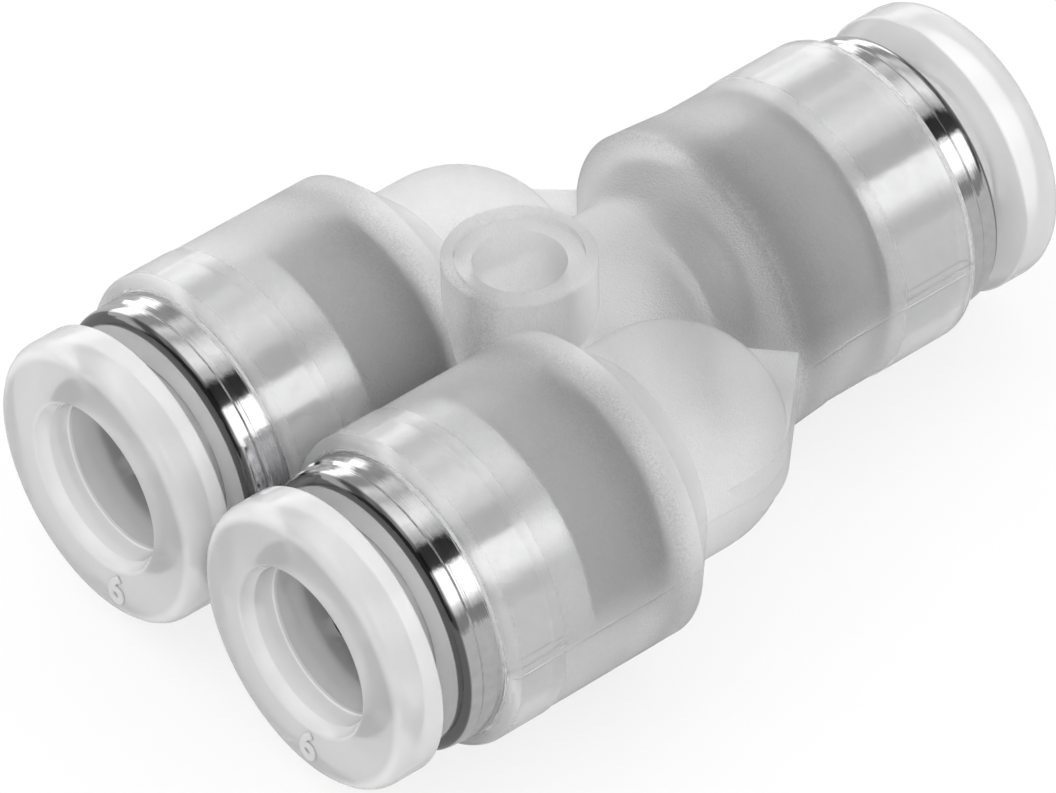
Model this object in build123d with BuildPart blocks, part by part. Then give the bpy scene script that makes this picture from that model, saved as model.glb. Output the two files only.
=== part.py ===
"""Push-in Y connector for 6 mm tubing.

Two parallel outlets open towards -X and one inlet opens towards +X. The origin is the middle
of the fixing eye, whose hole runs along Z. Every port holds the same cartridge: sleeve, grip
ring, backing ring, seal and release collar. All sizes are in millimetres.

Places along a port are measured from its mouth plane, positive out of the body.
"""
import os
from math import radians, tan

from build123d import *

# Tube
tube_diameter = 6.0
tube_clearance = 0.05
tube_ledge = 1.05

# Cross section of a port, from the tube outwards
seal_room = 1.95
sleeve_seat_step = 0.66
barrel_wall = 0.54
root_wall = 1.38

# Layout of the body
barrel_overlap = 0.64
outlet_mouth = 10.6
inlet_mouth = 16.9

# Barrel and shoulder of a port
barrel_end_wall = 0.55
shoulder_length = 1.7
neck_rounding = 0.8
mouth_rounding = 0.35
frost_step = 0.05
outlet_polish_length = 2.4
inlet_polish_length = 3.6
inlet_band_length = 2.25
inlet_band_flare = 0.18

# Middle of the body
dome_centre = 1.9
web_thickness = 1.9
web_inset = 0.2
web_bite = 0.15
eye_diameter = 5.74
eye_inset = 0.05
eye_hole_diameter = 3.5
eye_recess_diameter = 4.82
eye_recess_depth = 0.3
eye_rounding = 0.1

# Stepped bore of a port
sleeve_seat_depth = 4.0
seal_end_gap = 0.2
socket_length = 2.0
socket_chamfer = 0.2
flow_meeting = 1.0

# Retaining sleeve, a drawn steel cap
sleeve_fit = 0.02
sleeve_wall = 0.4
sleeve_stand_out = 1.75
sleeve_corner = 0.5
groove_place = 0.87
groove_width = 0.26
groove_depth = 0.1
front_step = 0.05

# Grip ring, cut from spring steel
grip_thickness = 0.25
grip_rim_width = 1.15
grip_teeth = 12
grip_slot_width = 0.4
grip_angle = 35.0

# Backing ring and seal
ring_fit = 0.04
backing_length = 1.5
backing_bore_clearance = 0.3
tooth_gap = 0.15
seal_length = 2.6
seal_groove_depth = 1.1
seal_groove_width = 0.7
seal_rounding = 0.15

# Release collar
collar_bore_clearance = 0.06
collar_wall = 0.79
collar_running_fit = 0.07
collar_travel = 1.0
collar_stop_gap = 0.1
flange_overhang = 0.05
flange_thickness = 1.89
flange_rounding = 0.65
flange_back_rounding = 0.1
entry_depth = 1.3
entry_step = 0.12
entry_lead_in = 0.25
bead_height = 0.6
bead_length = 0.9
bead_gap = 0.05
nose_land = 0.39
nose_gap = 0.1
finger_slots = 4
finger_slot_width = 0.8
finger_slot_margin = 0.3

# Radii and places that follow from the sizes above
socket_radius = tube_diameter / 2 + tube_clearance
flow_radius = socket_radius - tube_ledge
root_radius = socket_radius + root_wall
cartridge_radius = socket_radius + seal_room
seat_radius = cartridge_radius + sleeve_seat_step
barrel_radius = seat_radius + barrel_wall
frosted_radius = barrel_radius - frost_step
leg_y = barrel_radius - barrel_overlap / 2
eye_height = 2 * (barrel_radius - eye_inset)
cartridge_depth = sleeve_seat_depth + backing_length + seal_length + seal_end_gap
tube_stop_depth = cartridge_depth + socket_length
barrel_length = cartridge_depth + barrel_end_wall
shoulder_end = -barrel_length - shoulder_length
inlet_shoulder = inlet_mouth - barrel_length
inlet_stop = inlet_mouth - tube_stop_depth

sleeve_radius = seat_radius - sleeve_fit
sleeve_inner = sleeve_radius - sleeve_wall
sleeve_front = sleeve_radius - front_step
sleeve_face = sleeve_stand_out
ring_radius = cartridge_radius - ring_fit

grip_back = -sleeve_seat_depth
grip_front = grip_back + grip_thickness
grip_root = sleeve_radius - grip_rim_width
grip_slope = tan(radians(grip_angle))
tooth_drop = (grip_root - socket_radius) * grip_slope
backing_back = grip_back - backing_length
backing_bore = socket_radius + backing_bore_clearance
backing_cone = grip_root + tooth_gap
seal_back = backing_back - seal_length

collar_bore = tube_diameter / 2 + collar_bore_clearance
collar_radius = collar_bore + collar_wall
sleeve_hole = collar_radius + collar_running_fit
flange_back = sleeve_face + collar_stop_gap + collar_travel
flange_face = flange_back + flange_thickness
flange_radius = sleeve_radius + flange_overhang
entry_radius = collar_bore + entry_step
entry_end = flange_face - entry_depth
bead_radius = collar_radius + bead_height
bead_front = sleeve_face - sleeve_wall - bead_gap
nose_radius = collar_bore + nose_land
nose_tip = grip_front - (grip_root - nose_radius) * grip_slope + nose_gap + collar_travel

ports = {
    "outlet_left": (-outlet_mouth, leg_y, -1),
    "outlet_right": (-outlet_mouth, -leg_y, -1),
    "inlet": (inlet_mouth, 0, 1),
}


def profile_plane(port):
    """Plane of a port's half section: x is the radius, y runs out of the mouth."""
    x, y, outward = ports[port]
    return Plane(origin=(x, y, 0), x_dir=(0, 0, 1), z_dir=(0, outward, 0))


def cross_plane(port, place):
    """Plane across a port at a place along it, facing out of the mouth."""
    x, y, outward = ports[port]
    return Plane(origin=(x + outward * place, y, 0), z_dir=(outward, 0, 0))


def port_axis(port):
    """Axis of a port."""
    x, y, outward = ports[port]
    return Axis((x, y, 0), (outward, 0, 0))


def rounded_mouth():
    """Line from a port's axis across the mouth and round its edge."""
    rounding_start = (barrel_radius - mouth_rounding, 0)
    Line((0, 0), rounding_start)
    RadiusArc(rounding_start, (barrel_radius, -mouth_rounding), mouth_rounding)


def outlet_outline():
    """Half section of an outlet: barrel, shoulder and root with its round end."""
    dome_place = -outlet_mouth - dome_centre
    dome_tip = dome_place - root_radius
    rounded_mouth()
    Polyline(
        (barrel_radius, -mouth_rounding),
        (barrel_radius, -outlet_polish_length),
        (frosted_radius, -outlet_polish_length - frost_step),
        (frosted_radius, -barrel_length),
        (root_radius, shoulder_end),
        (root_radius, dome_place),
    )
    RadiusArc((root_radius, dome_place), (0, dome_tip), root_radius)
    Line((0, dome_tip), (0, 0))


def inlet_outline():
    """Half section of the inlet: barrel, flared band at its back, shoulder and neck to the eye."""
    band_front = inlet_band_length - barrel_length
    rounded_mouth()
    Polyline(
        (barrel_radius, -mouth_rounding),
        (barrel_radius, -inlet_polish_length),
        (frosted_radius, -inlet_polish_length - frost_step),
        (frosted_radius, band_front + frost_step),
        (barrel_radius, band_front),
        (barrel_radius + inlet_band_flare, -barrel_length),
        (root_radius, shoulder_end),
        (root_radius, -inlet_mouth),
        (0, -inlet_mouth),
        (0, 0),
    )


# Moulded body
with BuildPart() as y_body:
    for port in ports:
        with BuildSketch(profile_plane(port)) as port_section:
            with BuildLine():
                if port == "inlet":
                    inlet_outline()
                else:
                    outlet_outline()
            make_face()
            if port == "inlet":
                fillet(port_section.vertices().group_by(Axis.Y)[1], neck_rounding)
        revolve(axis=port_axis(port))

    # Web from the round ends of the outlets to the inlet's shoulder
    with BuildSketch(Plane.XY.offset(-web_thickness / 2)):
        with Locations((dome_centre, leg_y), (dome_centre, -leg_y)):
            Circle(root_radius)
        with Locations((inlet_shoulder + web_bite, 0)):
            Rectangle(inlet_shoulder, 2 * (barrel_radius - web_inset), align=(Align.MAX, Align.CENTER))
        make_hull()
    extrude(amount=web_thickness)

    # Fixing eye, recessed at both ends
    with BuildSketch(Plane.XZ) as eye_section:
        Rectangle(eye_diameter / 2, eye_height, align=(Align.MIN, Align.CENTER))
        fillet(eye_section.vertices().group_by(Axis.X)[-1], eye_rounding)
    revolve(axis=Axis.Z)
    Cylinder(eye_hole_diameter / 2, eye_height, mode=Mode.SUBTRACT)
    with Locations((0, 0, eye_height / 2), (0, 0, -eye_height / 2)):
        Cylinder(eye_recess_diameter / 2, 2 * eye_recess_depth, mode=Mode.SUBTRACT)

    # Stepped bores: sleeve seat, cartridge bore and tube socket with its stop
    for port in ports:
        with BuildSketch(profile_plane(port)):
            with BuildLine():
                Polyline(
                    (0, 0),
                    (seat_radius, 0),
                    (seat_radius, -sleeve_seat_depth),
                    (cartridge_radius, -sleeve_seat_depth),
                    (cartridge_radius, -cartridge_depth),
                    (socket_radius + socket_chamfer, -cartridge_depth),
                    (socket_radius, -cartridge_depth - socket_chamfer),
                    (socket_radius, -tube_stop_depth),
                    (0, -tube_stop_depth),
                    close=True,
                )
            make_face()
        revolve(axis=port_axis(port), mode=Mode.SUBTRACT)

    # Flow passages: straight behind each outlet, then slanting past the eye to the inlet
    meeting = Vector(inlet_stop - flow_meeting, 0, 0)
    runs = [(Vector(inlet_stop, 0, 0), meeting)]
    for side in (1, -1):
        turn = Vector(dome_centre, side * leg_y, 0)
        runs.append((Vector(-outlet_mouth + tube_stop_depth, side * leg_y, 0), turn))
        runs.append((turn, meeting))
    for start, end in runs:
        with BuildSketch(Plane(origin=start, z_dir=end - start)):
            Circle(flow_radius)
        extrude(amount=(end - start).length, mode=Mode.SUBTRACT)
        with Locations(end):
            Sphere(flow_radius, mode=Mode.SUBTRACT)

y_body.part.label = "y_body"
os.makedirs("parts", exist_ok=True)
export_step(y_body.part, "parts/y_body.step")

for port in ports:
    # Drawn steel cap with a rolled groove round its visible end
    with BuildPart() as sleeve:
        with BuildSketch(profile_plane(port)):
            with BuildLine():
                corner_start = (sleeve_front, sleeve_face - sleeve_corner)
                corner_end = (sleeve_front - sleeve_corner, sleeve_face)
                Polyline(
                    (sleeve_inner, grip_front),
                    (sleeve_radius, grip_front),
                    (sleeve_radius, groove_place - groove_width / 2),
                    (sleeve_radius - groove_depth, groove_place),
                    (sleeve_front, groove_place + groove_width / 2),
                    corner_start,
                )
                RadiusArc(corner_start, corner_end, -sleeve_corner)
                Polyline(
                    corner_end,
                    (sleeve_hole, sleeve_face),
                    (sleeve_hole, sleeve_face - sleeve_wall),
                    (sleeve_inner - sleeve_wall / 2, sleeve_face - sleeve_wall),
                    (sleeve_inner, sleeve_face - 3 * sleeve_wall / 2),
                    (sleeve_inner, grip_front),
                )
            make_face()
        revolve(axis=port_axis(port))
    sleeve.part.label = port + "_sleeve"
    export_step(sleeve.part, "parts/" + sleeve.part.label + ".step")

    # Toothed ring whose teeth lean the way the tube goes in
    with BuildPart() as grip_ring:
        with BuildSketch(profile_plane(port)):
            with BuildLine():
                Polyline(
                    (sleeve_radius, grip_back),
                    (sleeve_radius, grip_front),
                    (grip_root, grip_front),
                    (socket_radius, grip_front - tooth_drop),
                    (socket_radius, grip_back - tooth_drop),
                    (grip_root, grip_back),
                    close=True,
                )
            make_face()
        revolve(axis=port_axis(port))
        with BuildSketch(cross_plane(port, grip_back)):
            with PolarLocations(grip_root / 2, grip_teeth):
                Rectangle(grip_root, grip_slot_width)
            with PolarLocations(grip_root, grip_teeth):
                Circle(grip_slot_width * 3 / 4)
        extrude(amount=tooth_drop + grip_thickness, both=True, mode=Mode.SUBTRACT)
    grip_ring.part.label = port + "_grip_ring"
    export_step(grip_ring.part, "parts/" + grip_ring.part.label + ".step")

    # Ring that carries the seal's load and leaves a cone for the teeth
    with BuildPart() as backing_ring:
        with BuildSketch(profile_plane(port)):
            with BuildLine():
                Polyline(
                    (ring_radius, grip_back),
                    (backing_cone, grip_back),
                    (backing_bore, grip_back - (backing_cone - backing_bore) * grip_slope),
                    (backing_bore, backing_back),
                    (ring_radius, backing_back),
                    close=True,
                )
            make_face()
        revolve(axis=port_axis(port))
    backing_ring.part.label = port + "_backing_ring"
    export_step(backing_ring.part, "parts/" + backing_ring.part.label + ".step")

    # Lip seal, its groove open to the pressure side
    with BuildPart() as seal:
        with BuildSketch(profile_plane(port)) as seal_section:
            with BuildLine():
                middle = (socket_radius + ring_radius) / 2
                Polyline(
                    (socket_radius, backing_back),
                    (ring_radius, backing_back),
                    (ring_radius, seal_back),
                    (middle + seal_groove_width / 2, seal_back),
                    (middle, seal_back + seal_groove_depth),
                    (middle - seal_groove_width / 2, seal_back),
                    (socket_radius, seal_back),
                    close=True,
                )
            make_face()
            fillet(seal_section.vertices(), seal_rounding)
        revolve(axis=port_axis(port))
    seal.part.label = port + "_seal"
    export_step(seal.part, "parts/" + seal.part.label + ".step")

    # Release collar: flange, tube, snap bead behind the sleeve's face and slotted nose
    with BuildPart() as collar:
        with BuildSketch(profile_plane(port)):
            with BuildLine():
                rounding_end = (flange_radius - flange_rounding, flange_face)
                rounding_start = (flange_radius, flange_face - flange_rounding)
                Polyline(
                    rounding_end,
                    (entry_radius + entry_lead_in, flange_face),
                    (entry_radius, flange_face - 2 * entry_lead_in),
                    (entry_radius, entry_end),
                    (collar_bore, entry_end - entry_step),
                    (collar_bore, nose_tip),
                    (nose_radius, nose_tip),
                    (collar_radius, nose_tip + (collar_radius - nose_radius) * grip_slope),
                    (collar_radius, bead_front - bead_length),
                    (bead_radius, bead_front - bead_length / 3),
                    (bead_radius, bead_front),
                    (collar_radius, bead_front),
                    (collar_radius, flange_back),
                    (flange_radius - flange_back_rounding, flange_back),
                    (flange_radius, flange_back + flange_back_rounding),
                    rounding_start,
                )
                RadiusArc(rounding_start, rounding_end, -flange_rounding)
            make_face()
        revolve(axis=port_axis(port))
        with BuildSketch(cross_plane(port, nose_tip)):
            with PolarLocations(bead_radius / 2, finger_slots, start_angle=45):
                Rectangle(bead_radius, finger_slot_width)
        extrude(amount=sleeve_face - finger_slot_margin - nose_tip, mode=Mode.SUBTRACT)
    collar.part.label = port + "_collar"
    export_step(collar.part, "parts/" + collar.part.label + ".step")
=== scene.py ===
"""Tubing Y connector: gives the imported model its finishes, turned rings, teeth and size marks.

Lengths in the tables are in millimetres, but the lamp and the camera are placed in metres. Places
along a port are measured out of the body from its mouth plane, as in the part's own source, and
depths are measured into it.
"""
from math import asin, cos, pi, radians, sin, tan

import bpy
from mathutils import Matrix, Vector


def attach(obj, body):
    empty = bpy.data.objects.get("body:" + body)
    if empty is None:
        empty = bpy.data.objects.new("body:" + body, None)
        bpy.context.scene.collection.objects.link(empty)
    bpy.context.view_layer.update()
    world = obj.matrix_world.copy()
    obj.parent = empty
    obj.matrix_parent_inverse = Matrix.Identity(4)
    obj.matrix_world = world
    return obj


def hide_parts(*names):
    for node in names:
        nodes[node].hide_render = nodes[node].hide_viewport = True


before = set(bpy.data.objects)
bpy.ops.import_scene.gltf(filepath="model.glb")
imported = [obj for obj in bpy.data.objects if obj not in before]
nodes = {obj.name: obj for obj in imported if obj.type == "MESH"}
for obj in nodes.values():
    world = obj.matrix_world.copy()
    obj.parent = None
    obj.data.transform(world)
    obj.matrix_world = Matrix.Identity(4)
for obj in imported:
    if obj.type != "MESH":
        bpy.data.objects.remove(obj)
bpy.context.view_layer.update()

MM = 0.001

# Each port: mouth plane x, axis y, way out along X
PORTS = {
    "outlet_left": (-10.6, 5.88, -1),
    "outlet_right": (-10.6, -5.88, -1),
    "inlet": (16.9, 0.0, 1),
}

# Outlines of the turned rings: radius, place and rounding of each corner
SLEEVE_OUTLINE = [
    (5.24, -3.75, 0.0),
    (5.64, -3.75, 0.0),
    (5.64, 0.73, 0.04),
    (5.54, 0.87, 0.05),
    (5.59, 1.01, 0.04),
    (5.59, 1.75, 0.5),
    (3.92, 1.75, 0.06),
    (3.92, 1.35, 0.03),
    (5.24, 1.35, 0.25),
]

COLLAR_OUTLINE = [
    (3.06, -3.378, 0.0),
    (3.45, -3.378, 0.08),
    (3.85, -3.098, 0.1),
    (3.85, 0.4, 0.1),
    (4.45, 1.0, 0.08),
    (4.45, 1.3, 0.04),
    (3.85, 1.3, 0.05),
    (3.85, 2.85, 0.12),
    (5.69, 2.85, 0.1),
    (5.69, 4.74, 0.65),
    (3.43, 4.74, 0.15),
    (3.18, 4.24, 0.15),
    (3.18, 3.44, 0.03),
    (3.06, 3.32, 0.03),
]
ROUNDING_STEPS = 5
SLEEVE_SEGMENTS = 128
COLLAR_SEGMENTS = 112

# Collar: its front face, and the slots that part its nose into fingers
COLLAR_FACE = 4.74
FINGER_SLOTS = 4
FINGER_SLOT_WIDTH = 0.8
FINGER_SLOT_START = -4
FINGER_SLOT_END = 1.45
FINGER_SLOT_INNER = 1.5
FINGER_SLOT_OUTER = 5

# Grip ring: a flat rim, and teeth raked inwards with slots between them that widen at the root
GRIP_FRONT = -3.75
GRIP_THICKNESS = 0.25
GRIP_OUTER = 5.64
GRIP_ROOT = 4.49
GRIP_TIP = 3.05
GRIP_TEETH = 12
GRIP_RAKE = radians(35)
GRIP_SLOT_WIDTH = 0.4
GRIP_SLOT_HALF_ROOT = 0.75 * GRIP_SLOT_WIDTH
GRIP_RIM_INNER = GRIP_ROOT + 0.3
GRIP_ROOT_ROWS = (GRIP_ROOT + 0.15, GRIP_ROOT, GRIP_ROOT - 0.25)
GRIP_TOOTH_ROWS = (0.35, 0.7, 1.0)
GRIP_COLUMNS = 5

# Largest turn between faces that is still shaded smooth, and how near corners are joined
TURNED_CREASE, TOOTH_CREASE = 40, 30
SLOT_JOIN, TOOTH_JOIN = 0.001, 0.002

# Moulded size mark on the collar's face, at a radius and turn from the port's axis
MARK_TEXT = "6"
MARK_HEIGHT = 1.75
MARK_RELIEF = 0.05
MARK_THICKENING = 0.02
MARK_EDGE = 0.05
MARK_EDGE_STEPS = 2
MARK_RADIUS = 4.35
MARK_TURN = {"outlet_left": -104, "outlet_right": -93, "inlet": -90}

# Finishes of the body along a port, as depths: lip, polished band, cartridge, and the painted shade
# over the seal
LIP_START, LIP_END = 0.2, 0.4
POLISH_LENGTH = 2.4
INLET_POLISH_EXTRA = 1.2
POLISH_EDGE = 0.06
SKIN_INNER, SKIN_OUTER = 5.7, 5.8
CARTRIDGE_DEPTH = 8.32
# Painted shade over the seal: where it starts and ends along the port, and its tones
SEAL_SHADE_START, SEAL_SHADE_END = 4.2, 8.5
INLET_SHADE_SHIFT = 0.8
SEAL_SHADES = [(0.0, 1.0), (0.4, 0.88), (0.72, 0.64), (0.8, 0.66), (1.0, 1.0)]
PARTING_LINE = 0.04

# Painted shade on the collar, where the steel behind keeps light from passing: thin tube, and the
# face between bore and rim
TUBE_RADIUS, TUBE_PLACE = 3.2, 3.38
FACE_INNER, FACE_OUTER, FACE_EDGE = 3.4, 5.2, 0.2
FACE_BACK, FACE_FRONT, FACE_FADE = 4.0, 4.76, 0.02

# Zones of the sleeve with painted reflection: its front face, painted paler to brighten what it
# mirrors, and the drawn corner round it, painted near black as a dark reflection
FRONT_START, FRONT_END = 1.43, 1.5
CORNER_START, CORNER_END = 5.08, 5.16

# Floor and studio
FLOOR_LEVEL = -6.38
FLOOR_REACH = 1500
WHITE_SHARE = 0.8
MIRRORED_FLOOR_LOSS = 0.5
SKY_STRENGTH = 1.2
KEY_PLACE = (-0.25, 0.1, 0.5)
KEY_SIZE = 0.35
KEY_POWER = 0.45

# Plastic surfaces that a view passed: fewer than one, or a wall's two on the way in and out again
NO_WALL, WALL_TWICE = 0.5, 3.5

# What polished metal sees round the port axes: turn from +Y over the top, brightness
STUDIO = [
    (-180, 0.6), (-60, 0.6), (-45, 0.4), (-10, 0.4), (-2, 1.6), (18, 1.6), (26, 0.34), (42, 0.32),
    (50, 0.8), (64, 0.5), (74, 0.86), (88, 1.05), (98, 0.65), (104, 0.5), (109, 0.02), (127, 0.04),
    (131, 1.6), (152, 1.6), (158, 0.9), (166, 0.25), (176, 0.25), (180, 0.6),
]
STUDIO_PEAK = 2
STUDIO_NEAR, STUDIO_FAR, STUDIO_EDGE = -0.68, 0.8, 0.06
STUDIO_DARK = 0.07

# Camera, where the photograph was taken from, with its turns in degrees
CAMERA_PLACE = (-0.171746, -0.208180, 0.232753)
CAMERA_TURN = (49.1416, 1.0021, -40.4294)
CAMERA_LENS = 332.725


def add_node(tree, kind, inputs=None, **settings):
    """Adds a node, sets its properties and feeds its inputs with values or other sockets."""
    node = tree.nodes.new(kind)
    for name, value in settings.items():
        setattr(node, name, value)
    for key, value in (inputs or {}).items():
        if isinstance(value, bpy.types.NodeSocket):
            tree.links.new(value, node.inputs[key])
        else:
            node.inputs[key].default_value = value
    return node


def maths(tree, operation, *values, clamp=False):
    """A Math node on the values, as its output socket."""
    node = add_node(tree, "ShaderNodeMath", dict(enumerate(values)),
                    operation=operation, use_clamp=clamp)
    return node.outputs[0]


def colour(tone):
    """A colour with its alpha from a grey level or from red, green and blue."""
    return (*tone, 1) if isinstance(tone, tuple) else (tone, tone, tone, 1)


def ramp(tree, factor, stops):
    """A colour ramp of grey or coloured stops, as its output socket."""
    node = add_node(tree, "ShaderNodeValToRGB", {"Fac": factor})
    elements = node.color_ramp.elements
    while len(elements) < len(stops):
        elements.new(0.5)
    for element, (place, tone) in zip(elements, stops):
        element.position = place
        element.color = colour(tone)
    return node.outputs["Color"]


def fade(tree, value, start, end, curve="LINEAR"):
    """A value's share of the way from start to end, kept between 0 and 1."""
    return add_node(tree, "ShaderNodeMapRange", {0: value, 1: start, 2: end},
                    interpolation_type=curve).outputs[0]


def band(tree, value, low, high, edge):
    """A mask that is 1 between two places, with soft edges."""
    up = fade(tree, value, low - edge, low + edge, "SMOOTHSTEP")
    down = fade(tree, value, high - edge, high + edge, "SMOOTHSTEP")
    return maths(tree, "SUBTRACT", up, down, clamp=True)


def blend(tree, share, first, second, way="MIX"):
    """Two colours mixed by a share, as an output socket."""
    node = add_node(tree, "ShaderNodeMix", {0: share, 6: first, 7: second},
                    data_type="RGBA", blend_type=way)
    return node.outputs[2]


def new_group(name, inputs, outputs):
    """A shared effect with named sockets: returns the group, its input and its output node."""
    group = bpy.data.node_groups.new(name, "ShaderNodeTree")
    face = group.interface
    face.new_socket("Vector", in_out="INPUT", socket_type="NodeSocketVector")
    for label, usual in inputs.items():
        socket = face.new_socket(label, in_out="INPUT", socket_type="NodeSocketFloat")
        socket.default_value = usual
    for label in outputs:
        face.new_socket(label, in_out="OUTPUT", socket_type="NodeSocketFloat")
    return (group, group.nodes.new("NodeGroupInput").outputs,
            group.nodes.new("NodeGroupOutput").inputs)


def make_grain():
    """Fine moulded or etched grain: a height and a mask that vary over the surface."""
    group, given, result = new_group("fine grain", {
        "Grain Size": 0.1 * MM, "Patch Size": 2 * MM, "Patchiness": 0.3}, ("Height", "Mask"))
    fine = add_node(group, "ShaderNodeTexNoise", {
        "Vector": given["Vector"], "Scale": maths(group, "DIVIDE", 1.0, given["Grain Size"]),
        "Detail": 3.0, "Roughness": 0.6}).outputs["Fac"]
    patches = add_node(group, "ShaderNodeTexNoise", {
        "Vector": given["Vector"], "Scale": maths(group, "DIVIDE", 1.0, given["Patch Size"]),
        "Detail": 2.0}).outputs["Fac"]
    weight = maths(group, "MULTIPLY_ADD", patches, given["Patchiness"],
                   maths(group, "SUBTRACT", 1.0, given["Patchiness"]))
    group.links.new(maths(group, "MULTIPLY", fine, weight), result["Height"])
    group.links.new(patches, result["Mask"])
    return group


def make_drawn_lines():
    """Faint lines left round a drawn ring whose axis runs along X, and smears on its polish."""
    group, given, result = new_group("drawn lines", {"Line Pitch": 0.1 * MM}, ("Height", "Smear"))
    across = maths(group, "DIVIDE", 1.0, given["Line Pitch"])
    along = maths(group, "MULTIPLY", across, 0.03)
    stretch = add_node(group, "ShaderNodeCombineXYZ", {
        "X": across, "Y": along, "Z": along}).outputs[0]
    squeezed = add_node(group, "ShaderNodeVectorMath", {0: given["Vector"], 1: stretch},
                        operation="MULTIPLY").outputs[0]
    lines = add_node(group, "ShaderNodeTexNoise", {"Vector": squeezed, "Scale": 1.0, "Detail": 2.0})
    smears = add_node(group, "ShaderNodeTexNoise", {
        "Vector": given["Vector"], "Scale": 2200.0, "Detail": 4.0})
    group.links.new(lines.outputs["Fac"], result["Height"])
    group.links.new(smears.outputs["Fac"], result["Smear"])
    return group


def make_port_place():
    """Radius from the nearest port's axis and depth behind its mouth, in metres, and which half."""
    group, given, result = new_group("port place", {}, ("Radius", "Depth", "Inlet"))
    split = add_node(group, "ShaderNodeSeparateXYZ", {0: given["Vector"]}).outputs
    inlet = maths(group, "GREATER_THAN", split["X"], 0.0)
    outlet = maths(group, "SUBTRACT", 1.0, inlet)
    outlet_x, outlet_y, _ = PORTS["outlet_left"]
    inlet_x, _, _ = PORTS["inlet"]
    across = maths(group, "SUBTRACT", maths(group, "ABSOLUTE", split["Y"]),
                   maths(group, "MULTIPLY", outlet, outlet_y * MM))
    radius = maths(group, "SQRT", maths(group, "ADD", maths(group, "MULTIPLY", across, across),
                                        maths(group, "MULTIPLY", split["Z"], split["Z"])))
    behind_inlet = maths(group, "MULTIPLY", inlet,
                         maths(group, "SUBTRACT", inlet_x * MM, split["X"]))
    behind_outlet = maths(group, "MULTIPLY", outlet,
                          maths(group, "SUBTRACT", split["X"], outlet_x * MM))
    group.links.new(radius, result["Radius"])
    group.links.new(maths(group, "ADD", behind_inlet, behind_outlet), result["Depth"])
    group.links.new(inlet, result["Inlet"])
    return group


GRAIN = make_grain()
DRAWN_LINES = make_drawn_lines()
PORT_PLACE = make_port_place()


def use_group(tree, group, inputs):
    """Places a shared effect in a material and returns its outputs."""
    return add_node(tree, "ShaderNodeGroup", inputs, node_tree=group).outputs


def use_grain(tree, place, grain_size, patch_size, patchiness):
    """The moulded grain, its sizes in millimetres: returns its height and mask."""
    return use_group(tree, GRAIN, {"Vector": place, "Grain Size": grain_size * MM,
                                   "Patch Size": patch_size * MM, "Patchiness": patchiness})


def new_material(name, plain):
    """A material with its shader's plain values: returns it, its tree, shader and coordinates."""
    material = bpy.data.materials.new(name)
    material.use_nodes = True
    tree = material.node_tree
    tree.nodes.clear()
    out = tree.nodes.new("ShaderNodeOutputMaterial")
    shader = add_node(tree, "ShaderNodeBsdfPrincipled", plain)
    tree.links.new(shader.outputs[0], out.inputs["Surface"])
    place = tree.nodes.new("ShaderNodeTexCoord").outputs["Object"]
    return material, tree, shader, place


def feed(tree, shader, **sources):
    """Links what varies to the shader's sockets, named with underscores for spaces."""
    for name, source in sources.items():
        tree.links.new(source, shader.inputs[name.replace("_", " ")])


def bumped(tree, height, strength, distance):
    """A bump of a height over a distance in millimetres, as its normal."""
    return add_node(tree, "ShaderNodeBump", {
        "Height": height, "Strength": strength, "Distance": distance * MM}).outputs[0]


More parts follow.
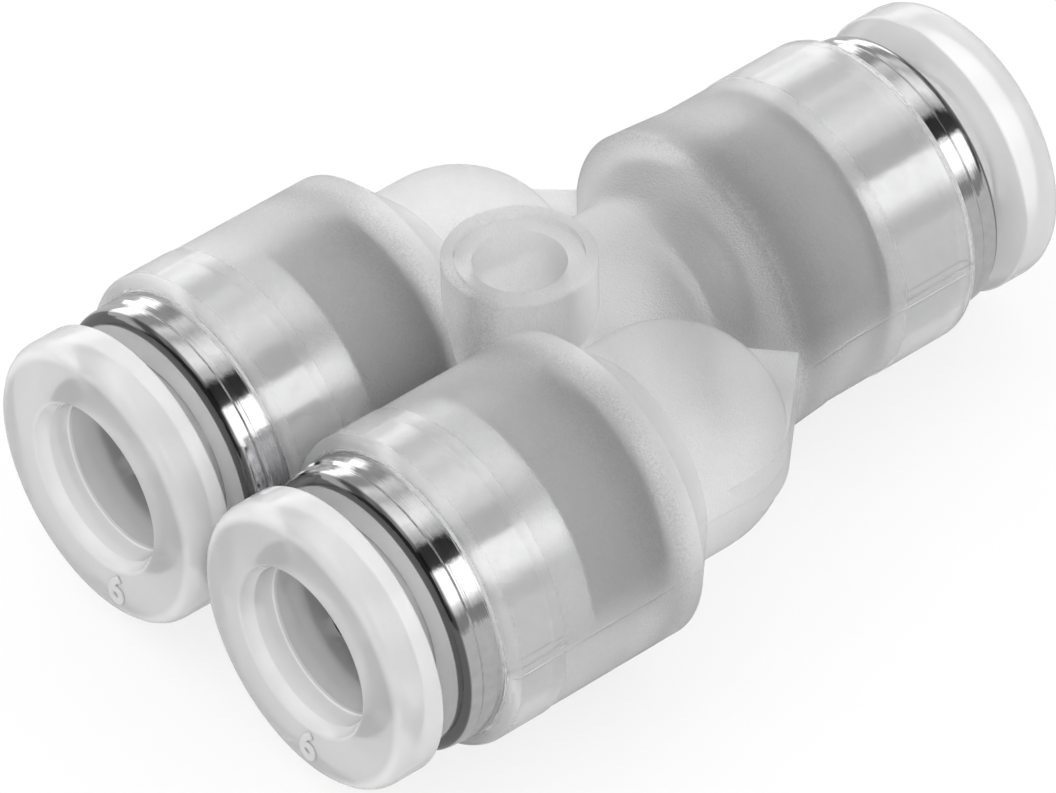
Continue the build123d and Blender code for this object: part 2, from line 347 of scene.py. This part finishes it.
def body_plastic():
    """Frosted natural polypropylene, polished behind the mouths, with a mould line all round and
    painted shade where the seals lie behind the wall.
    """
    material, tree, shader, place = new_material("frosted body plastic", {
        "Transmission Weight": 0.8, "IOR": 1.18, "Coat IOR": 1.5, "Coat Roughness": 0.1})
    at = use_group(tree, PORT_PLACE, {"Vector": place})
    grain = use_grain(tree, place, grain_size=0.08, patch_size=2.5, patchiness=0.35)

    # Polished band, and frost on the rest of the outside
    polish_end = maths(tree, "MULTIPLY_ADD", at["Inlet"],
                       INLET_POLISH_EXTRA * MM, POLISH_LENGTH * MM)
    front = fade(tree, at["Depth"], LIP_START * MM, LIP_END * MM)
    back = fade(tree, maths(tree, "SUBTRACT", at["Depth"], polish_end),
                POLISH_EDGE * MM, -POLISH_EDGE * MM)
    polish = maths(tree, "MULTIPLY", front, back)
    outer_skin = fade(tree, at["Radius"], SKIN_INNER * MM, SKIN_OUTER * MM)
    behind_cartridge = maths(tree, "GREATER_THAN", at["Depth"], CARTRIDGE_DEPTH * MM)
    skin = maths(tree, "MAXIMUM", outer_skin, behind_cartridge)
    frost = maths(tree, "MULTIPLY", maths(tree, "SUBTRACT", 1.0, polish), skin)
    etching = maths(tree, "MULTIPLY_ADD", grain["Height"], 0.4, 0.06)
    smooth = maths(tree, "MULTIPLY_ADD", grain["Mask"], 0.1, 0.13)
    rough = maths(tree, "MULTIPLY_ADD", frost, etching, smooth)

    # Painted shade on the wall over the seal, darker where the dark seal lies behind it, with
    # speckled edges
    speckle = maths(tree, "MULTIPLY_ADD", grain["Height"], 2.5 * MM, -1.0 * MM)
    along = maths(tree, "SUBTRACT", maths(tree, "ADD", at["Depth"], speckle),
                  maths(tree, "MULTIPLY", at["Inlet"], INLET_SHADE_SHIFT * MM))
    share = fade(tree, along, SEAL_SHADE_START * MM, SEAL_SHADE_END * MM)
    painted_seal_shade = maths(tree, "MULTIPLY", outer_skin, maths(tree, "GREATER_THAN", share, 0.0))
    clear = ramp(tree, polish, [(0.0, 1.0), (1.0, 0.95)])
    tone = blend(tree, painted_seal_shade, clear, ramp(tree, share, SEAL_SHADES))

    # Etched grain and the parting line
    split = add_node(tree, "ShaderNodeSeparateXYZ", {0: place}).outputs
    ridge = band(tree, split["Z"], -PARTING_LINE * MM, PARTING_LINE * MM, PARTING_LINE * MM)
    etched = maths(tree, "MULTIPLY", maths(tree, "MULTIPLY", grain["Height"], frost), front)
    height = maths(tree, "ADD", etched, maths(tree, "MULTIPLY", ridge, 0.6))
    feed(tree, shader, Base_Color=tone, Roughness=rough,
         Coat_Weight=maths(tree, "MULTIPLY", polish, 0.6),
         Normal=bumped(tree, height, strength=1.0, distance=0.09))
    return material


def collar_plastic():
    """Milky natural polypropylene with a moulded gloss, and painted shade on its face and its thin
    tube.
    """
    material, tree, shader, place = new_material("collar plastic", {
        "Transmission Weight": 0.5, "IOR": 1.3, "Coat Weight": 0.5, "Coat Roughness": 0.1})
    at = use_group(tree, PORT_PLACE, {"Vector": place})
    grain = use_grain(tree, place, grain_size=0.4, patch_size=3.0, patchiness=0.5)
    tube = maths(tree, "MULTIPLY", maths(tree, "GREATER_THAN", at["Depth"], -TUBE_PLACE * MM),
                 maths(tree, "LESS_THAN", at["Radius"], TUBE_RADIUS * MM))
    face = maths(tree, "MULTIPLY",
                 band(tree, at["Radius"], FACE_INNER * MM, FACE_OUTER * MM, FACE_EDGE * MM),
                 band(tree, at["Depth"], -FACE_FRONT * MM, -FACE_BACK * MM, FACE_FADE * MM))
    # Painted shade: the thin tube and the face are darker than the rim, as if the steel behind kept
    # light out
    tone = blend(tree, tube, blend(tree, face, colour(0.97), colour(0.68)), colour(0.65))
    feed(tree, shader, Base_Color=tone,
         Roughness=maths(tree, "MULTIPLY_ADD", grain["Mask"], 0.12, 0.14),
         Normal=bumped(tree, grain["Height"], strength=0.15, distance=0.04))
    return material


def ring_plastic():
    """Dark moulded plastic of the hidden backing rings."""
    material, tree, shader, place = new_material("ring plastic", {})
    grain = use_grain(tree, place, grain_size=0.2, patch_size=2.0, patchiness=0.5)
    feed(tree, shader, Base_Color=ramp(tree, grain["Mask"], [(0.3, 0.02), (0.7, 0.05)]),
         Roughness=maths(tree, "MULTIPLY_ADD", grain["Mask"], 0.15, 0.4))
    return material


def polished_steel(name, tones, roughness, pitch):
    """Stainless steel with drawn lines a pitch apart, smears, uneven gloss, and painted reflection:
    a paler face and a near black corner.
    """
    material, tree, shader, place = new_material(name, {"Metallic": 1.0})
    dull, bright = tones
    least, most = roughness
    lines = use_group(tree, DRAWN_LINES, {"Vector": place, "Line Pitch": pitch * MM})
    at = use_group(tree, PORT_PLACE, {"Vector": place})
    front = fade(tree, at["Depth"], -FRONT_START * MM, -FRONT_END * MM)
    corner = maths(tree, "MULTIPLY", front,
                   fade(tree, at["Radius"], CORNER_START * MM, CORNER_END * MM))
    face = maths(tree, "SUBTRACT", front, corner, clamp=True)
    drawn = ramp(tree, lines["Smear"], [(0.3, dull), (0.7, bright)])
    # Painted reflection: a paler face that mirrors brighter, and a near black corner that stands in
    # for a dark reflection
    tone = blend(tree, corner, blend(tree, face, drawn, colour(0.97)), colour(0.2))
    rough = maths(tree, "MULTIPLY_ADD", lines["Smear"], most - least,
                  maths(tree, "MULTIPLY_ADD", face, 0.25, least))
    height = maths(tree, "MULTIPLY_ADD", lines["Smear"], 0.6, lines["Height"])
    feed(tree, shader, Base_Color=tone, Roughness=rough,
         Normal=bumped(tree, height, strength=0.4, distance=0.02))
    return material


def seal_rubber():
    """Matt black moulded rubber with a fine bloom."""
    material, tree, shader, place = new_material("seal rubber", {})
    grain = use_grain(tree, place, grain_size=0.12, patch_size=1.2, patchiness=0.4)
    feed(tree, shader, Base_Color=ramp(tree, grain["Mask"], [(0.3, 0.02), (0.75, 0.05)]),
         Roughness=maths(tree, "MULTIPLY_ADD", grain["Mask"], 0.2, 0.5),
         Normal=bumped(tree, grain["Height"], strength=0.3, distance=0.03))
    return material


BODY = body_plastic()
COLLAR = collar_plastic()
RING = ring_plastic()
SLEEVE_STEEL = polished_steel("sleeve steel", tones=((0.72, 0.72, 0.73), (0.8, 0.8, 0.81)),
                              roughness=(0.04, 0.14), pitch=0.06)
GRIP_STEEL = polished_steel("spring steel", tones=((0.6, 0.6, 0.61), (0.72, 0.72, 0.73)),
                            roughness=(0.15, 0.3), pitch=0.1)
SEAL = seal_rubber()


def dress(node, material):
    """Gives a carried-over solid its finish."""
    slots = nodes[node].data.materials
    slots.clear()
    slots.append(material)


def new_tree(name, sockets):
    """A geometry node tree with named inputs: returns the tree, its input and its output node."""
    tree = bpy.data.node_groups.new(name, "GeometryNodeTree")
    tree.interface.new_socket("Geometry", in_out="INPUT", socket_type="NodeSocketGeometry")
    for label, kind in sockets:
        tree.interface.new_socket(label, in_out="INPUT", socket_type=kind)
    tree.interface.new_socket("Geometry", in_out="OUTPUT", socket_type="NodeSocketGeometry")
    return (tree, tree.nodes.new("NodeGroupInput").outputs,
            tree.nodes.new("NodeGroupOutput").inputs)


def close_tree(tree, geometry, material, result):
    """Ends a tree in plain geometry with its material."""
    real = add_node(tree, "GeometryNodeRealizeInstances", {"Geometry": geometry}).outputs[0]
    finished = add_node(tree, "GeometryNodeSetMaterial", {
        "Geometry": real, "Material": material}).outputs[0]
    tree.links.new(finished, result["Geometry"])


def make_turned_ring():
    """Rounds the corners of an outline and turns it round Z."""
    tree, given, result = new_tree("turned ring", [
        ("Rounding Steps", "NodeSocketInt"), ("Segments", "NodeSocketInt"),
        ("Path Radius", "NodeSocketFloat"), ("Material", "NodeSocketMaterial")])
    outline = add_node(tree, "GeometryNodeMeshToCurve", {"Mesh": given["Geometry"]}).outputs[0]
    rounding = add_node(tree, "GeometryNodeInputNamedAttribute", {"Name": "rounding"},
                        data_type="FLOAT").outputs[0]
    rounded = add_node(tree, "GeometryNodeFilletCurve", {
        "Curve": outline, "Radius": rounding, "Count": given["Rounding Steps"],
        "Limit Radius": True}, mode="POLY").outputs[0]
    shift = add_node(tree, "ShaderNodeCombineXYZ", {
        "X": maths(tree, "MULTIPLY", given["Path Radius"], -1.0)}).outputs[0]
    moved = add_node(tree, "GeometryNodeSetPosition", {
        "Geometry": rounded, "Offset": shift}).outputs[0]
    path = add_node(tree, "GeometryNodeCurvePrimitiveCircle", {
        "Resolution": given["Segments"], "Radius": given["Path Radius"]}).outputs[0]
    turned = add_node(tree, "GeometryNodeCurveToMesh", {
        "Curve": path, "Profile Curve": moved}).outputs[0]
    close_tree(tree, turned, given["Material"], result)
    return tree


def make_round_pattern():
    """Repeats one piece round Z and joins the copies where they meet."""
    tree, given, result = new_tree("round pattern", [
        ("Count", "NodeSocketInt"), ("Join Distance", "NodeSocketFloat"),
        ("Material", "NodeSocketMaterial")])
    points = add_node(tree, "GeometryNodePoints", {"Count": given["Count"]}).outputs[0]
    index = tree.nodes.new("GeometryNodeInputIndex").outputs[0]
    step = maths(tree, "DIVIDE", 2 * pi, given["Count"])
    turn = add_node(tree, "ShaderNodeCombineXYZ", {
        "Z": maths(tree, "MULTIPLY", index, step)}).outputs[0]
    copies = add_node(tree, "GeometryNodeInstanceOnPoints", {
        "Points": points, "Instance": given["Geometry"], "Rotation": turn}).outputs[0]
    real = add_node(tree, "GeometryNodeRealizeInstances", {"Geometry": copies}).outputs[0]
    joined = add_node(tree, "GeometryNodeMergeByDistance", {
        "Geometry": real, "Distance": given["Join Distance"]}).outputs[0]
    close_tree(tree, joined, given["Material"], result)
    return tree


TURNED_RING = make_turned_ring()
ROUND_PATTERN = make_round_pattern()


def add_object(name, data):
    """An object in the scene that shows the data."""
    made = bpy.data.objects.new(name, data)
    bpy.context.scene.collection.objects.link(made)
    return made


def plain_mesh(source):
    """What an object shows, with its modifiers, as a mesh of its own."""
    bpy.context.view_layer.update()
    return bpy.data.meshes.new_from_object(
        source.evaluated_get(bpy.context.evaluated_depsgraph_get()))


def finish_modifiers(piece):
    """Turns a piece's modifiers into plain mesh."""
    made = plain_mesh(piece)
    made.name = piece.data.name
    piece.modifiers.clear()
    piece.data = made


def run_tree(mesh, tree, values, name):
    """Runs a tree on a mesh and returns the plain mesh that it makes."""
    scratch = add_object(name + " scratch", mesh)
    modifier = scratch.modifiers.new("make", "NODES")
    modifier.node_group = tree
    for item in tree.interface.items_tree:
        if item.in_out == "INPUT" and item.name in values:
            modifier[item.identifier] = values[item.name]
    made = plain_mesh(scratch)
    made.name = name
    bpy.data.objects.remove(scratch)
    return made


def outline_mesh(outline, name):
    """A closed outline in metres whose corners carry their rounding."""
    mesh = bpy.data.meshes.new(name + " outline")
    count = len(outline)
    mesh.from_pydata([(radius * MM, -place * MM, 0) for radius, place, _ in outline],
                     [(k, (k + 1) % count) for k in range(count)], [])
    rounding = mesh.attributes.new("rounding", "FLOAT", "POINT")
    rounding.data.foreach_set("value", [corner * MM for _, _, corner in outline])
    return mesh


def port_matrix(port):
    """Matrix that takes a piece made round Z to its port, Z pointing out of the mouth."""
    x, y, outward = PORTS[port]
    return Matrix.Translation((x * MM, y * MM, 0)) @ Matrix.Rotation(outward * pi / 2, 4, "Y")


def add_piece(mesh, name, port, body, stands_for):
    """Puts a finished mesh in the scene as a piece that rides on a body."""
    mesh.transform(port_matrix(port))
    piece = add_object(name, mesh)
    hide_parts(stands_for)
    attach(piece, body)
    return piece


def even_shading(piece, crease):
    """Smooth shading that keeps flats flat and corners crisp."""
    piece.data.shade_smooth()
    piece.data.set_sharp_from_angle(angle=radians(crease))
    weighted = piece.modifiers.new("even", "WEIGHTED_NORMAL")
    weighted.keep_sharp = True
    finish_modifiers(piece)


def turned_mesh(outline, name, material, segments):
    """An outline turned round Z as a plain mesh."""
    return run_tree(outline_mesh(outline, name), TURNED_RING, {
        "Rounding Steps": ROUNDING_STEPS, "Segments": segments, "Path Radius": outline[0][0] * MM,
        "Material": material}, name)


def slot_blocks(name):
    """Blocks round Z, one for each finger slot."""
    half = FINGER_SLOT_WIDTH / 2 * MM
    near, far = FINGER_SLOT_INNER * MM, FINGER_SLOT_OUTER * MM
    low, high = FINGER_SLOT_START * MM, FINGER_SLOT_END * MM
    turn = Matrix.Rotation(pi / FINGER_SLOTS, 4, "Z")
    corners = [turn @ Vector((x, y, z)) for z in (low, high) for x, y in
               ((near, -half), (far, -half), (far, half), (near, half))]
    mesh = bpy.data.meshes.new(name + " slot")
    mesh.from_pydata(corners, [], [
        (0, 3, 2, 1), (4, 5, 6, 7), (0, 1, 5, 4), (1, 2, 6, 5), (2, 3, 7, 6), (3, 0, 4, 7)])
    return run_tree(mesh, ROUND_PATTERN, {
        "Count": FINGER_SLOTS, "Join Distance": SLOT_JOIN * MM, "Material": COLLAR},
        name + " slots")


def cut_fingers(mesh, name):
    """A collar's mesh with its nose parted into fingers."""
    cutter = add_object(name + " cutter", slot_blocks(name))
    raw = add_object(name + " raw", mesh)
    cut = raw.modifiers.new("fingers", "BOOLEAN")
    cut.operation = "DIFFERENCE"
    cut.solver = "EXACT"
    cut.object = cutter
    finish_modifiers(raw)
    made = raw.data
    bpy.data.objects.remove(raw)
    bpy.data.objects.remove(cutter)
    return made


def grip_sector(name):
    """One tooth of the grip ring with its share of the rim, round Z."""
    half = pi / GRIP_TEETH
    # From the rim to the tip: radius, how far inside the root, half the tooth's angle
    stations = [(GRIP_OUTER, 0.0, half), (GRIP_RIM_INNER, 0.0, half)]
    for radius in GRIP_ROOT_ROWS:
        stations.append((radius, max(0.0, GRIP_ROOT - radius),
                         half - asin(GRIP_SLOT_HALF_ROOT / radius)))
    for share in GRIP_TOOTH_ROWS:
        radius = GRIP_ROOT + (GRIP_TIP - GRIP_ROOT) * share
        stations.append((radius, GRIP_ROOT - radius, half - asin(GRIP_SLOT_WIDTH / 2 / radius)))
    columns = GRIP_COLUMNS
    corners, faces = [], []
    for back in (0.0, GRIP_THICKNESS):
        for radius, inward, reach in stations:
            place = GRIP_FRONT - inward * tan(GRIP_RAKE) - back
            for k in range(columns):
                angle = reach * (2 * k / (columns - 1) - 1)
                corners.append((radius * cos(angle) * MM, radius * sin(angle) * MM, place * MM))
    layer = len(stations) * columns
    last = (len(stations) - 1) * columns
    for s in range(len(stations) - 1):
        for k in range(columns - 1):
            a = s * columns + k
            faces.append((a, a + columns, a + columns + 1, a + 1))
            faces.append((layer + a, layer + a + 1, layer + a + columns + 1, layer + a + columns))
        if s > 0:
            a = s * columns
            b = a + columns - 1
            faces.append((a, layer + a, layer + a + columns, a + columns))
            faces.append((b, b + columns, layer + b + columns, layer + b))
    for k in range(columns - 1):
        faces.append((k, k + 1, layer + k + 1, layer + k))
        faces.append((last + k, layer + last + k, layer + last + k + 1, last + k + 1))
    mesh = bpy.data.meshes.new(name + " tooth")
    mesh.from_pydata(corners, [], faces)
    return mesh


def size_mark(port):
    """The tube size as a small raised digit on the collar's face."""
    curve = bpy.data.curves.new(port + " size mark", "FONT")
    curve.body = MARK_TEXT
    curve.size = MARK_HEIGHT * MM
    curve.align_x = "CENTER"
    curve.align_y = "CENTER"
    curve.extrude = MARK_RELIEF * MM
    curve.offset = MARK_THICKENING * MM
    curve.bevel_depth = MARK_EDGE * MM
    curve.bevel_resolution = MARK_EDGE_STEPS
    scratch = add_object(port + " mark scratch", curve)
    mesh = plain_mesh(scratch)
    bpy.data.objects.remove(scratch)
    x, y, outward = PORTS[port]
    turn = radians(MARK_TURN[port])
    spot = Vector((0, cos(turn), sin(turn)))
    centre = Vector((x + outward * COLLAR_FACE, y, 0)) * MM + spot * MARK_RADIUS * MM
    upright = Matrix(((0, 0, outward), (outward, 0, 0), (0, 1, 0))).to_4x4()
    mesh.transform(Matrix.Translation(centre) @ upright)
    mesh.materials.clear()
    mesh.materials.append(COLLAR)
    piece = add_object(port + "_size_mark", mesh)
    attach(piece, port + "_release")


# The pieces, port by port
dress("y_body", BODY)
for port in PORTS:
    dress(port + "_backing_ring", RING)
    dress(port + "_seal", SEAL)

    name = port + "_retaining_sleeve"
    ring = turned_mesh(SLEEVE_OUTLINE, name, SLEEVE_STEEL, SLEEVE_SEGMENTS)
    sleeve = add_piece(ring, name, port, "housing", port + "_sleeve")
    even_shading(sleeve, TURNED_CREASE)

    name = port + "_release_collar"
    ring = turned_mesh(COLLAR_OUTLINE, name, COLLAR, COLLAR_SEGMENTS)
    collar = add_piece(cut_fingers(ring, name), name, port,
                       port + "_release", port + "_collar")
    even_shading(collar, TURNED_CREASE)

    name = port + "_toothed_ring"
    ring = run_tree(grip_sector(name), ROUND_PATTERN, {
        "Count": GRIP_TEETH, "Join Distance": TOOTH_JOIN * MM, "Material": GRIP_STEEL}, name)
    grip = add_piece(ring, name, port, "housing", port + "_grip_ring")
    even_shading(grip, TOOTH_CREASE)

    size_mark(port)


def lit_white(tree, share):
    """Share of plain white in a surface that the camera, metal or clear plastic looks at."""
    path = tree.nodes.new("ShaderNodeLightPath").outputs
    seen = maths(tree, "ADD", path["Is Camera Ray"], path["Is Glossy Ray"], clamp=True)
    seen = maths(tree, "ADD", seen, path["Is Transmission Ray"], clamp=True)
    return maths(tree, "MULTIPLY", seen, share)


def mirrored(tree):
    """1 for a view that comes off bare metal, or off metal behind a wall of plastic."""
    path = tree.nodes.new("ShaderNodeLightPath").outputs
    bare = maths(tree, "LESS_THAN", path["Transmission Depth"], NO_WALL)
    behind_wall = maths(tree, "GREATER_THAN", path["Transmission Depth"], WALL_TWICE)
    bounced = maths(tree, "MINIMUM", path["Glossy Depth"], 1.0)
    return maths(tree, "MULTIPLY", bounced, maths(tree, "MAXIMUM", bare, behind_wall))


def make_floor():
    """Pale paper floor that keeps the object's shadow."""
    reach, level = FLOOR_REACH * MM, FLOOR_LEVEL * MM
    mesh = bpy.data.meshes.new("pale floor")
    mesh.from_pydata([(-reach, -reach, level), (reach, -reach, level), (reach, reach, level),
                      (-reach, reach, level)], [], [(0, 1, 2, 3)])
    material = bpy.data.materials.new("pale floor")
    material.use_nodes = True
    tree = material.node_tree
    tree.nodes.clear()
    place = tree.nodes.new("ShaderNodeTexCoord").outputs["Object"]
    paper = add_node(tree, "ShaderNodeTexNoise", {
        "Vector": place, "Scale": 400.0, "Detail": 3.0}).outputs["Fac"]
    diffuse = add_node(tree, "ShaderNodeBsdfDiffuse", {
        "Color": ramp(tree, paper, [(0.3, 0.86), (0.7, 0.88)])}).outputs[0]
    white = add_node(tree, "ShaderNodeEmission", {
        "Color": colour(1), "Strength": maths(tree, "MULTIPLY_ADD", mirrored(tree),
                                              -MIRRORED_FLOOR_LOSS, 1.0)}).outputs[0]
    mix = add_node(tree, "ShaderNodeMixShader", {
        0: lit_white(tree, WHITE_SHARE), 1: diffuse, 2: white}).outputs[0]
    out = tree.nodes.new("ShaderNodeOutputMaterial")
    tree.links.new(mix, out.inputs["Surface"])
    mesh.materials.append(material)
    floor = add_object("pale_floor", mesh)


def make_world():
    """Soft sky, studio panels that only metal mirrors, and plain white for the camera."""
    world = bpy.data.worlds.new("studio")
    bpy.context.scene.world = world
    world.use_nodes = True
    tree = world.node_tree
    tree.nodes.clear()
    way = tree.nodes.new("ShaderNodeTexCoord").outputs["Generated"]
    split = add_node(tree, "ShaderNodeSeparateXYZ", {0: way}).outputs

    # Studio panels: a ring of them round X, dark beyond both ends
    turn = maths(tree, "ARCTAN2", split["Z"], split["Y"])
    panels = ramp(tree, fade(tree, turn, -pi, pi), [
        ((angle + 180) / 360, tone / STUDIO_PEAK) for angle, tone in STUDIO])
    panels = blend(tree, 1.0, panels, colour(STUDIO_PEAK), "MULTIPLY")
    strip = band(tree, split["X"], STUDIO_NEAR, STUDIO_FAR, STUDIO_EDGE)
    panels = blend(tree, strip, colour(STUDIO_DARK), panels)

    # Sky from the ground up, for all that isn't metal
    up = maths(tree, "MULTIPLY_ADD", split["Z"], 0.5, 0.5)
    sky = ramp(tree, up, [(0.0, 0.9), (0.5, 0.95), (1.0, 1.0)])

    soft, seen, white = (
        add_node(tree, "ShaderNodeBackground", {"Color": tone, "Strength": strength}).outputs[0]
        for tone, strength in ((sky, SKY_STRENGTH), (panels, 1.0), (colour(1), 1.0)))
    light = add_node(tree, "ShaderNodeMixShader", {0: mirrored(tree), 1: soft, 2: seen}).outputs[0]
    camera_ray = tree.nodes.new("ShaderNodeLightPath").outputs["Is Camera Ray"]
    whole = add_node(tree, "ShaderNodeMixShader", {0: camera_ray, 1: light, 2: white}).outputs[0]
    out = tree.nodes.new("ShaderNodeOutputWorld")
    tree.links.new(whole, out.inputs["Surface"])


def make_key_lamp():
    """A soft square lamp high over the outlets' side, turned to the object."""
    lamp = bpy.data.lights.new("key lamp", "AREA")
    lamp.size = KEY_SIZE
    lamp.energy = KEY_POWER
    holder = add_object("key lamp", lamp)
    holder.location = KEY_PLACE
    holder.rotation_euler = (-Vector(KEY_PLACE)).to_track_quat("-Z", "Y").to_euler()
    holder.visible_glossy = False


def make_camera():
    """Camera at the photograph's angle."""
    data = bpy.data.cameras.new("camera")
    data.sensor_width = 36
    data.lens = CAMERA_LENS
    data.clip_start = 0.01
    data.clip_end = 10
    camera = add_object("camera", data)
    camera.location = CAMERA_PLACE
    camera.rotation_euler = [radians(turn) for turn in CAMERA_TURN]
    bpy.context.scene.camera = camera


make_floor()
make_world()
make_key_lamp()
make_camera()
bpy.context.scene.view_settings.view_transform = "Standard"
